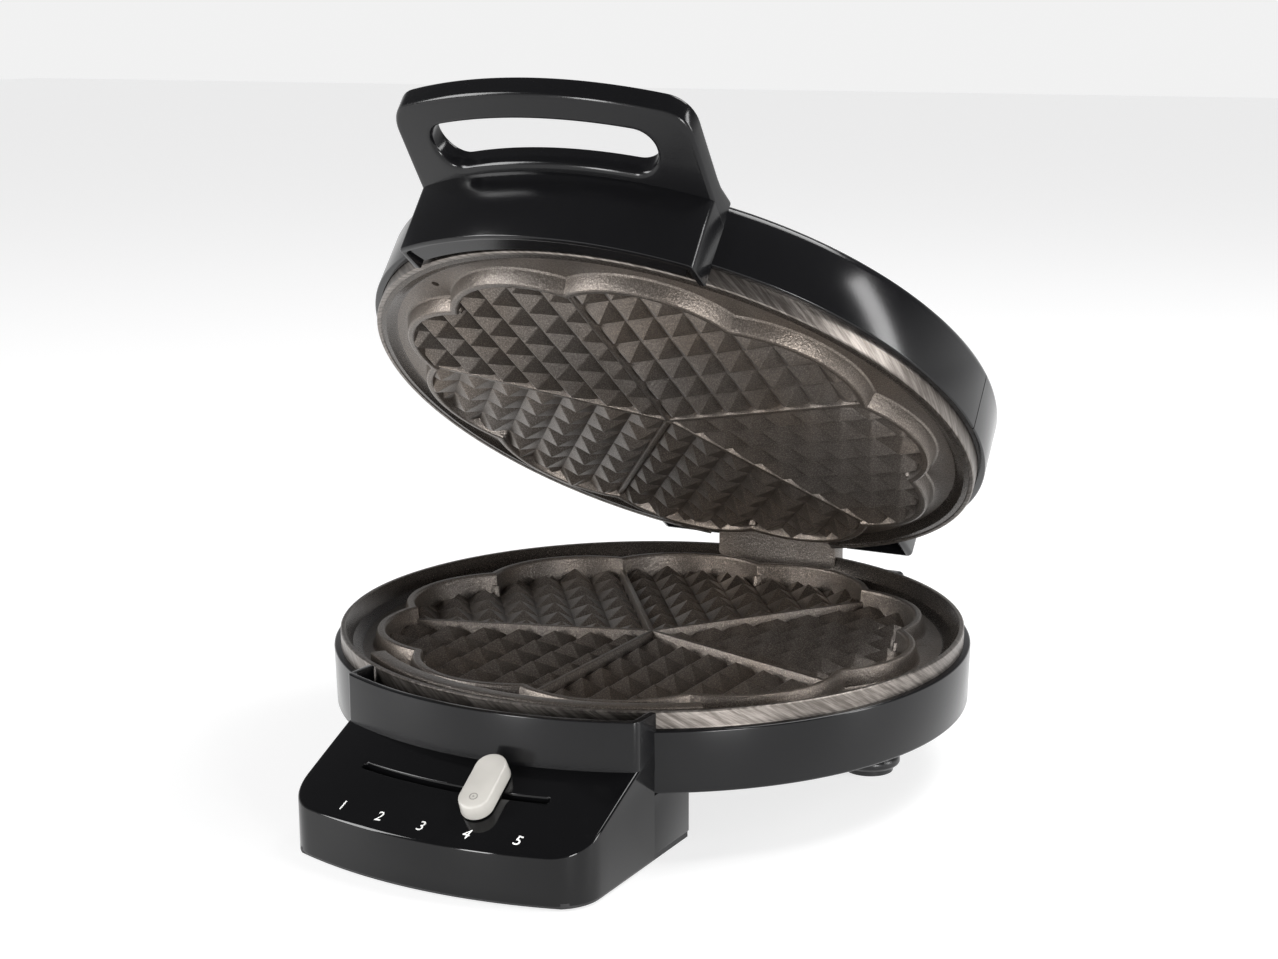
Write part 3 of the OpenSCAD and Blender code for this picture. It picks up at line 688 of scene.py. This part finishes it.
def divider_bars(bm, valley, top, up):
    """Five bars between the hearts, each with a round stud at its outer end."""
    half, foot = 1.25, valley - 0.6 * up
    section = ((-half - 0.5, foot), (half + 0.5, foot), (half - 0.35, top), (-half + 0.35, top))
    flip = Matrix.Rotation(0 if up > 0 else math.pi, 4, "X")
    for k in range(5):
        old = set(bm.verts)
        face = bm.faces.new([bm.verts.new((x, -0.4, z)) for x, z in section])
        out = bmesh.ops.extrude_face_region(bm, geom=[face])["geom"]
        ends = [v for v in out if isinstance(v, bmesh.types.BMVert)]
        bmesh.ops.translate(bm, verts=ends, vec=(0, -92.6, 0))
        mine = edges_of([v for v in bm.verts if v not in old])
        soften(bm, [e for e in mine if all(abs(v.co.z - top) < 1e-3 for v in e.verts)], 0.4)
        turn_round(bm, old, math.radians(72 * k))
        middle = Matrix.Translation(polar(93.2, 36 + 72 * k, (top + foot) / 2))
        stud = edges_of(post(bm, 2.3, abs(top - valley) + 0.6, middle @ flip, 28, 1.7))
        soften(bm, [e for e in stud if all(abs(v.co.z - top) < 0.4 for v in e.verts)], 0.5, 2)


class WAFFLE_OT_lower_plate(bpy.types.Operator):
    """Lower baking plate with its hearts, channel, front ledge and hinge lug"""
    bl_idname = "waffle.lower_plate"
    bl_label = "Lower plate"

    def execute(self, context):
        F, S = finishes(context.scene), context.scene.waffle_sizes
        bm = bmesh.new()
        valley = TOP - 5
        plate_body(bm, valley, TOP + 4.6, TOP - 1.8, TOP + 5.9, LOWER_RIM_R, TOP - 9, 1, TOP)
        divider_bars(bm, valley, TOP - 0.2, 1)
        heart_field(bm, valley, 1, MM * S.pyramid, MM * S.crown)
        ledge = [(105.6, TOP - 2.6), (111.6, TOP - 2.6), (111.6, TOP + 5.2), (105.6, TOP + 5.2)]
        lathe(bm, ledge, -37, 37, 60, widths={2: 0.9, 3: 0.9})
        lug = [(106, TOP - 5), (112, TOP - 8), (117.6, TOP - 8), (119.8, TOP - 4), (119.8, 66.4),
               (118.2, 68.4), (109, 68.4), (110.8, 60.4), (110.8, TOP - 3), (106, TOP - 3)]
        side_prism(bm, lug, -LUG_W, LUG_W, 0.5)
        ob = object_from(bm, "lower_plate_dish", BASE)
        bm = bmesh.new()
        rod(bm, BARREL_R, -LUG_W, LUG_W, HINGE.y, HINGE.z, 56, 0.5)
        barrel = object_from(bm, "lower_hinge_barrel", BASE)
        bm = bmesh.new()
        rod(bm, PIN_R, -30, 30, HINGE.y, HINGE.z)
        drill = object_from(bm, "drill", BASE)
        cut(barrel, [drill])
        wear(ob, F["lower_cast"], F["lower_channel_painted_shade"], F["lower_rim"], angle=24)
        wear(barrel, F["lower_cast"])
        place_piece(ob, "base", "plate_coated", "lower_plate")
        place_piece(barrel, "base", "plate_coated")
        return {"FINISHED"}


class WAFFLE_OT_upper_plate(bpy.types.Operator):
    """Upper baking plate with its hearts, channel and the two hinge ears"""
    bl_idname = "waffle.upper_plate"
    bl_label = "Upper plate"

    def execute(self, context):
        F, S = finishes(context.scene), context.scene.waffle_sizes
        bm = bmesh.new()
        valley = TOP + 8.4
        plate_body(bm, valley, TOP + 4.9, TOP + 11, TOP + 8.8, UPPER_RIM_R, TOP + 12.4, -1, TOP + 15)
        ob = object_from(bm, "upper_plate_dish", LID)
        metals = (F["upper_cast"], F["upper_channel_painted_shade"], F["upper_rim"])
        wear(ob, *metals)  # the faces keep their finishes through the cut
        notch = box_tool(LID, -28, 28, 105.6, 130, TOP + 4, TOP + 40)
        vent = post_tool(LID, 1.5, 14, Matrix.Translation((-60, -86.5, TOP + 11)), 24)
        cut(ob, [notch, vent])
        bm = bmesh.new()
        divider_bars(bm, valley, TOP + 6.0, -1)
        heart_field(bm, valley, -1, MM * S.pyramid, MM * S.crown)
        ear = [(100, TOP + 11.6), (107, TOP + 11.2), (117.6, 65.6), (116, 70.6), (110, 71)]
        for s in (-1, 1):
            x0, x1 = sorted((s * EAR_IN, s * EAR_OUT))
            side_prism(bm, ear, x0, x1, 0.6)
            rod(bm, BARREL_R, x0, x1, HINGE.y, HINGE.z, 48, 0.5)
        grid = object_from(bm, "upper_plate_hearts", LID)
        wear(ob, *metals, angle=24)
        wear(grid, F["upper_cast"], angle=24)
        place_piece(ob, "lid", "plate_coated", "upper_plate")
        place_piece(grid, "lid", "plate_coated")
        return {"FINISHED"}


class WAFFLE_OT_base(bpy.types.Operator):
    """Round lower housing with its rear stand block"""
    bl_idname = "waffle.base"
    bl_label = "Lower housing"

    def execute(self, context):
        F, S = finishes(context.scene), context.scene.waffle_sizes
        bm = bmesh.new()
        wall = [(116.9, BOT), (119.4, BOT), (HOUSING_R, TOP), (114.7, TOP), (114.7, TOP - 2.5),
                (117.5, TOP - 2.5)]
        lathe(bm, wall, steps=256, widths={1: MM * S.edge, 2: MM * S.edge * 0.7})
        ob = object_from(bm, "lower_housing_ring", BASE)
        cut(ob, [box_tool(BASE, -27.4, 27.4, 108, 122, TOP - 14, TOP + 4)])
        bm = bmesh.new()
        block(bm, -52, 52, 108, 128, BOT, TOP - 0.05, 2.2, 4)
        rear = object_from(bm, "rear_stand_block", BASE)
        seat = box_tool(BASE, -27.4, 27.4, 100, 120.6, TOP - 14, TOP + 4)
        hollow = post_tool(BASE, 118.6, 60, Matrix.Translation((0, 0, TOP - 10)), 256)
        lying = Matrix.Translation((40, 125, TOP - 13)) @ Matrix.Rotation(math.pi / 2, 4, "X")
        inlet = post_tool(BASE, 5, 30, lying, 48)
        cut(rear, [seat, hollow, inlet])
        for o in (ob, rear):
            wear(o, F["base_gloss"])
        place_piece(ob, "base", "housing_gloss", "lower_housing")
        place_piece(rear, "base", "housing_gloss")
        return {"FINISHED"}


def ribbon(bm, z0, z1, edge):
    """The curved front band with its two side returns."""
    wall, ends = 2.5, -104.2
    half = BOX_W - 0.08  # just inside the pieces it runs into
    a = math.degrees(math.asin(half / BAND_R))
    outer = [(-half, ends)] + arc(BAND_R, -a, a, 56) + [(half, ends)]
    b = math.degrees(math.asin((half - wall) / (BAND_R - wall)))
    inner = [(half - wall, ends)] + arc(BAND_R - wall, b, -b, 56) + [(-half + wall, ends)]
    slab(bm, outer + inner, z0, z1)
    tall = [e for e in bm.edges if abs(e.verts[0].co.z - e.verts[1].co.z) > 1
            and e.calc_face_angle(0) > 0.5 and e.verts[0].co.y < -110]
    soften(bm, tall, 1.6, 4)
    soften(bm, sharp(bm, 50, lambda e: abs(e.verts[0].co.z - e.verts[1].co.z) < 1e-3), edge)


class WAFFLE_OT_control(bpy.types.Operator):
    """Control housing: sloping panel with the lever slot, curved band and side walls"""
    bl_idname = "waffle.control"
    bl_label = "Control housing"

    def execute(self, context):
        F, S = finishes(context.scene), context.scene.waffle_sizes
        bm = bmesh.new()
        shape, slot = (163.0, BOX_W, 16.0, HOUSING_R + 0.1), (SLOT_R, 1.3, 14.4)
        front_piece(bm, shape, slot, panel_height, lambda r: 1.4, MM * S.edge * 0.9, 0.5, 0.25)
        body = object_from(bm, "control_housing_body", BASE)
        bm = bmesh.new()
        ribbon(bm, TOP - 14.0, TOP + 6.2, 0.5)
        shelf = [(120.1, TOP - 3.5), (128.6, TOP - 3.5), (128.6, TOP - 1), (120.1, TOP - 1)]
        lathe(bm, shelf, -SHELF_SPAN, SHELF_SPAN, 48)
        block(bm, -57.4, 57.4, -112, -80, 2.6, BOT - 0.05, 0.8)
        band = object_from(bm, "control_housing_band", BASE)
        wear(body, F["panel_gloss"], angle=28)
        wear(band, F["base_gloss"], angle=28)
        place_piece(body, "base", "housing_gloss", "control_housing")
        place_piece(band, "base", "housing_gloss")
        return {"FINISHED"}


class WAFFLE_OT_lever(bpy.types.Operator):
    """Browning lever on the sloping panel, and the printed numerals"""
    bl_idname = "waffle.lever"
    bl_label = "Lever and numerals"

    def execute(self, context):
        F, S = finishes(context.scene), context.scene.waffle_sizes
        slope = Matrix.Rotation(math.atan(PANEL_DROP), 4, "X")
        pz = panel_height(SLOT_R)
        turn = Matrix.Rotation(S.lever_at, 4, "Z") @ Matrix.Translation((0, -SLOT_R, pz)) @ slope
        bm = bmesh.new()
        w, l = 5.7, 12.5  # half width and half length of the grip
        round_end = [math.pi * i / 20 for i in range(21)]
        outline = [(w * math.cos(t), (l - w) + w * math.sin(t)) for t in round_end]
        outline += [(-x, -y) for x, y in outline]
        tops = slab(bm, outline, 0.5, 6.1)
        bmesh.ops.scale(bm, vec=(0.94, 0.97, 1), verts=tops)
        soften(bm, sharp(bm, 50, lambda e: min(v.co.z for v in e.verts) > 5), 0.65, 4)
        soften(bm, sharp(bm, 50, lambda e: max(v.co.z for v in e.verts) < 1), 0.4, 2)
        bmesh.ops.transform(bm, matrix=turn, space=Matrix.Identity(4), verts=bm.verts)
        old = set(bm.verts)
        block(bm, -4, 4, -SLOT_R - 1, -SLOT_R + 1, 19.2, pz + 1.4)
        turn_round(bm, old, S.lever_at)
        grip = object_from(bm, "browning_lever_grip", BASE)
        wear(grip, F["lever"])
        place_piece(grip, "lever", "lever_grey", "control_lever")
        bm = bmesh.new()
        ring = [(1.15, 6.02), (1.45, 6.02), (1.45, 6.2), (1.15, 6.2)]
        lathe(bm, ring, steps=40)
        post(bm, 0.35, 0.18, Matrix.Translation((0, 0, 6.11)), 20)
        put = turn @ Matrix.Translation((0, -7.2, 0))
        bmesh.ops.transform(bm, matrix=put, space=Matrix.Identity(4), verts=bm.verts)
        mark = object_from(bm, "lever_mark", BASE)
        wear(mark, F["mark"])
        place_piece(mark, "lever", "lever_grey")
        for label, deg in (("1", -12.1), ("2", -6.0), ("3", 0.1), ("4", 6.2), ("5", 12.6)):
            text = bpy.data.curves.new("numeral", "FONT")
            text.body = label
            text.size, text.shear, text.extrude, text.offset = MM * S.numeral_h, 0.12, 0.05, -0.022
            text.resolution_u = 6
            text.align_x = text.align_y = "CENTER"
            tmp = bpy.data.objects.new("numeral", text)
            context.scene.collection.objects.link(tmp)
            context.view_layer.update()
            mesh = bpy.data.meshes.new_from_object(tmp.evaluated_get(context.evaluated_depsgraph_get()))
            bpy.data.objects.remove(tmp)
            bm = bmesh.new()
            bm.from_mesh(mesh)
            row = Matrix.Translation((0, -NUMERAL_R, panel_height(NUMERAL_R) + 0.06))
            round_axis = Matrix.Rotation(math.radians(deg), 4, "Z")
            put = round_axis @ row @ slope @ round_axis.inverted()
            bmesh.ops.transform(bm, matrix=put, space=Matrix.Identity(4), verts=bm.verts)
            ob = object_from(bm, "numeral_" + label, BASE)
            wear(ob, F["numeral"])
            place_piece(ob, "base", "housing_gloss")
        return {"FINISHED"}


class WAFFLE_OT_lid(bpy.types.Operator):
    """Lid shell with its rear block"""
    bl_idname = "waffle.lid"
    bl_label = "Lid housing"

    def execute(self, context):
        F, S = finishes(context.scene), context.scene.waffle_sizes
        bm = bmesh.new()
        z0, z1 = LID_LOW, LID_TOP
        wall = [(0, z1), (116.4, z1), (119.3, z1 - 2.9), (119.7, z0), (117.2, z0), (117.2, z1 - 6),
                (114, z1 - 2.5), (0, z1 - 2.5)]
        lathe(bm, wall, steps=256, widths={1: 2.6, 2: 2.2, 3: MM * S.edge * 0.6})
        shell = object_from(bm, "lid_shell", LID)
        opening = (-29, 29, 100, 140, z0 - 2, HINGE.z + 9)
        ears = box_tool(LID, -38, 38, 100, 121, z0 - 2, HINGE.z + 9)
        bm = bmesh.new()
        groove = [(-0.3, z0 - 1), (0.3, z0 - 1), (0.3, z1 + 1), (-0.3, z1 + 1)]
        for s in (-1, 1):
            x0, x1 = sorted((s * 118.9, s * 121))
            side_prism(bm, groove, x0, x1)
        cut(shell, [box_tool(LID, *opening), ears, object_from(bm, "seams", LID)])
        bm = bmesh.new()
        block(bm, -58, 58, 100, 128, z0, z1 - 4, 2.2, 4)
        rear = object_from(bm, "lid_rear_block", LID)
        hollow = post_tool(LID, 118.8, 80, Matrix.Translation((0, 0, z0 + 10)), 256)
        inside = box_tool(LID, -55.5, 55.5, 90, 125.5, z0 - 1, z1 - 6.5)
        cut(rear, [hollow, box_tool(LID, *opening), inside])
        for o in (shell, rear):
            wear(o, F["lid_gloss"])
        place_piece(shell, "lid", "housing_gloss", "upper_housing")
        place_piece(rear, "lid", "housing_gloss")
        return {"FINISHED"}


class WAFFLE_OT_handle(bpy.types.Operator):
    """Lid band and the sloping loop handle with its finger opening"""
    bl_idname = "waffle.handle"
    bl_label = "Lid handle"

    def execute(self, context):
        F, S = finishes(context.scene), context.scene.waffle_sizes
        bm = bmesh.new()
        shape, slot, edge = (159.0, BOX_W, 12.0, HOUSING_R - 0.1), (141.2, 8.4, 14.3), MM * S.edge
        front_piece(bm, shape, slot, lambda r: max(LID_TOP, handle_height(r)),
                    lambda r: handle_height(r) - 7.8, edge * 1.6, edge * 1.3, edge * 1.4)
        loop = object_from(bm, "lid_handle_loop", LID)
        bm = bmesh.new()
        ribbon(bm, TOP + 6.9, TOP + 33.5, 0.6)
        shelf = [(119.8, TOP + 8.1), (129, TOP + 8.1), (129, TOP + 10.6), (119.8, TOP + 10.6)]
        lathe(bm, shelf, -SHELF_SPAN, SHELF_SPAN, 48)
        band = object_from(bm, "lid_handle_band", LID)
        for o in (loop, band):
            wear(o, F["lid_gloss"], angle=28)
        place_piece(loop, "lid", "housing_gloss", "lid_handle")
        place_piece(band, "lid", "housing_gloss")
        return {"FINISHED"}


class WAFFLE_OT_feet(bpy.types.Operator):
    """The four round feet"""
    bl_idname = "waffle.feet"
    bl_label = "Feet"

    def execute(self, context):
        F = finishes(context.scene)
        bm = bmesh.new()
        foot = [(3.3, 2), (10, 2), (11.5, 3.2), (11.5, 5.2), (10, 7), (8.5, 8.5), (8.5, BOT), (3.3, BOT)]
        for x, y in ((84, 14), (-84, 14), (48, 84), (-48, 84)):
            old = set(bm.verts)
            lathe(bm, foot, steps=56, widths={2: 0.6, 3: 0.6, 5: 0.8})
            bmesh.ops.translate(bm, verts=[v for v in bm.verts if v not in old], vec=(x, y, 0))
        ob = object_from(bm, "round_feet", BASE)
        wear(ob, F["rubber"])
        place_piece(ob, "base", "feet", "legs")
        return {"FINISHED"}


class WAFFLE_OT_trim(bpy.types.Operator):
    """Finishes for the pieces that show as they come from the frame"""
    bl_idname = "waffle.trim"
    bl_label = "Trim finishes"

    def execute(self, context):
        F = finishes(context.scene)
        by_slot = {"base_matte": "base_matte", "feet": "rubber", "steel_parts": "steel",
                   "sheet_aluminium": "sheet", "heater_steel": "heater", "ceramic": "ceramic",
                   "lead_sleeve": "sleeve", "housing_gloss": "base_gloss", "plate_coated": "lower_cast",
                   "lever_grey": "lever"}
        for row in frame["record"]["subparts"]:
            ob = frame["nodes"][row["node"]]
            ob.data.materials.clear()
            ob.data.materials.append(F[by_slot[row["material_slot"]]])
        return {"FINISHED"}


class WAFFLE_OT_stage(bpy.types.Operator):
    """Pale floor, soft lights and the camera"""
    bl_idname = "waffle.stage"
    bl_label = "Stage"

    def execute(self, context):
        scene = context.scene
        F = finishes(scene)
        bm = bmesh.new()
        bmesh.ops.create_grid(bm, x_segments=2, y_segments=2, size=6.0)
        mesh = bpy.data.meshes.new("floor")
        bm.to_mesh(mesh)
        bm.free()
        floor = bpy.data.objects.new("floor", mesh)
        scene.collection.objects.link(floor)
        floor.data.materials.append(F["floor"])
        world = bpy.data.worlds.new("studio")
        scene.world = world
        world.use_nodes = True
        nt = world.node_tree
        sky = nt.nodes.new("ShaderNodeTexCoord")
        parts = nt.nodes.new("ShaderNodeSeparateXYZ")
        ramp = nt.nodes.new("ShaderNodeValToRGB")
        nt.links.new(sky.outputs["Generated"], parts.inputs[0])
        nt.links.new(parts.outputs["Z"], ramp.inputs[0])
        low, high = ramp.color_ramp.elements
        low.position, low.color = 0.03, (0.93, 0.93, 0.93, 1)
        high.position, high.color = 0.34, (0.13, 0.13, 0.135, 1)
        nt.links.new(ramp.outputs[0], nt.nodes["Background"].inputs[0])
        nt.nodes["Background"].inputs[1].default_value = 0.95

        def panel(name, at, to, w, h, power):
            light = bpy.data.lights.new(name, "AREA")
            light.shape, light.size, light.size_y, light.energy = "RECTANGLE", w, h, power
            ob = bpy.data.objects.new(name, light)
            scene.collection.objects.link(ob)
            ob.location = at
            ob.rotation_euler = (Vector(to) - Vector(at)).to_track_quat("-Z", "Y").to_euler()

        panel("key_softbox", (-1.2, -1.0, 0.75), (0, 0, 0.12), 0.5, 0.9, 20)
        panel("top_softbox", (0.5, 0.55, 1.4), (0, 0, 0.1), 0.8, 0.8, 20)
        panel("right_strip", (1.4, 0.3, 0.5), (0, 0, 0.12), 0.22, 0.9, 9)
        panel("low_right_softbox", (1.0, -0.75, 0.16), (0, 0, 0.17), 0.3, 0.3, 7)
        panel("front_strip", (-0.35, -1.5, 0.28), (0, 0, 0.12), 0.2, 0.45, 7)
        cam = bpy.data.cameras.new("camera")
        cam.sensor_width, cam.sensor_fit, cam.lens = 36.0, "HORIZONTAL", 61.85
        cam.clip_start, cam.clip_end = 0.05, 50
        ob = bpy.data.objects.new("camera", cam)
        scene.collection.objects.link(ob)
        right = Vector((0.87807, 0.47851, -0.00401))
        up = Vector((-0.09777, 0.18760, 0.97737))
        ahead = Vector((-0.46844, 0.85781, -0.21151))
        turn = Matrix((right, up, -ahead)).transposed().to_4x4()
        ob.matrix_world = Matrix.Translation((0.3818, -0.7091 + AXIS_Y * 0.001, 0.2787)) @ turn
        scene.camera = ob
        scene.view_settings.view_transform = "Standard"
        scene.view_settings.look = "None"
        return {"FINISHED"}


class WAFFLE_PT_panel(bpy.types.Panel):
    """Sizes, finishes and pieces of the waffle maker"""
    bl_label = "Waffle maker"
    bl_space_type = "VIEW_3D"
    bl_region_type = "UI"
    bl_category = "Waffle maker"

    def draw(self, context):
        for group in (context.scene.waffle_sizes, context.scene.waffle_finish):
            for name in group.bl_rna.properties.keys():
                if name not in ("rna_type", "name"):
                    self.layout.prop(group, name)
        for op in PIECES:
            self.layout.operator(op.bl_idname)


PIECES = (WAFFLE_OT_trim, WAFFLE_OT_lower_plate, WAFFLE_OT_upper_plate, WAFFLE_OT_base,
          WAFFLE_OT_control, WAFFLE_OT_lever, WAFFLE_OT_lid, WAFFLE_OT_handle, WAFFLE_OT_feet,
          WAFFLE_OT_stage)
CLASSES = (WaffleSizes, WaffleFinish, *PIECES, WAFFLE_PT_panel)


def register():
    for c in CLASSES:
        bpy.utils.register_class(c)
    bpy.types.Scene.waffle_sizes = bpy.props.PointerProperty(type=WaffleSizes)
    bpy.types.Scene.waffle_finish = bpy.props.PointerProperty(type=WaffleFinish)


def unregister():
    del bpy.types.Scene.waffle_sizes
    del bpy.types.Scene.waffle_finish
    for c in reversed(CLASSES):
        bpy.utils.unregister_class(c)


def main():
    register()
    for op in PIECES:
        group, name = op.bl_idname.split(".")
        getattr(getattr(bpy.ops, group), name)()
    bpy.context.view_layer.update()


if __name__ == "__main__":
    main()
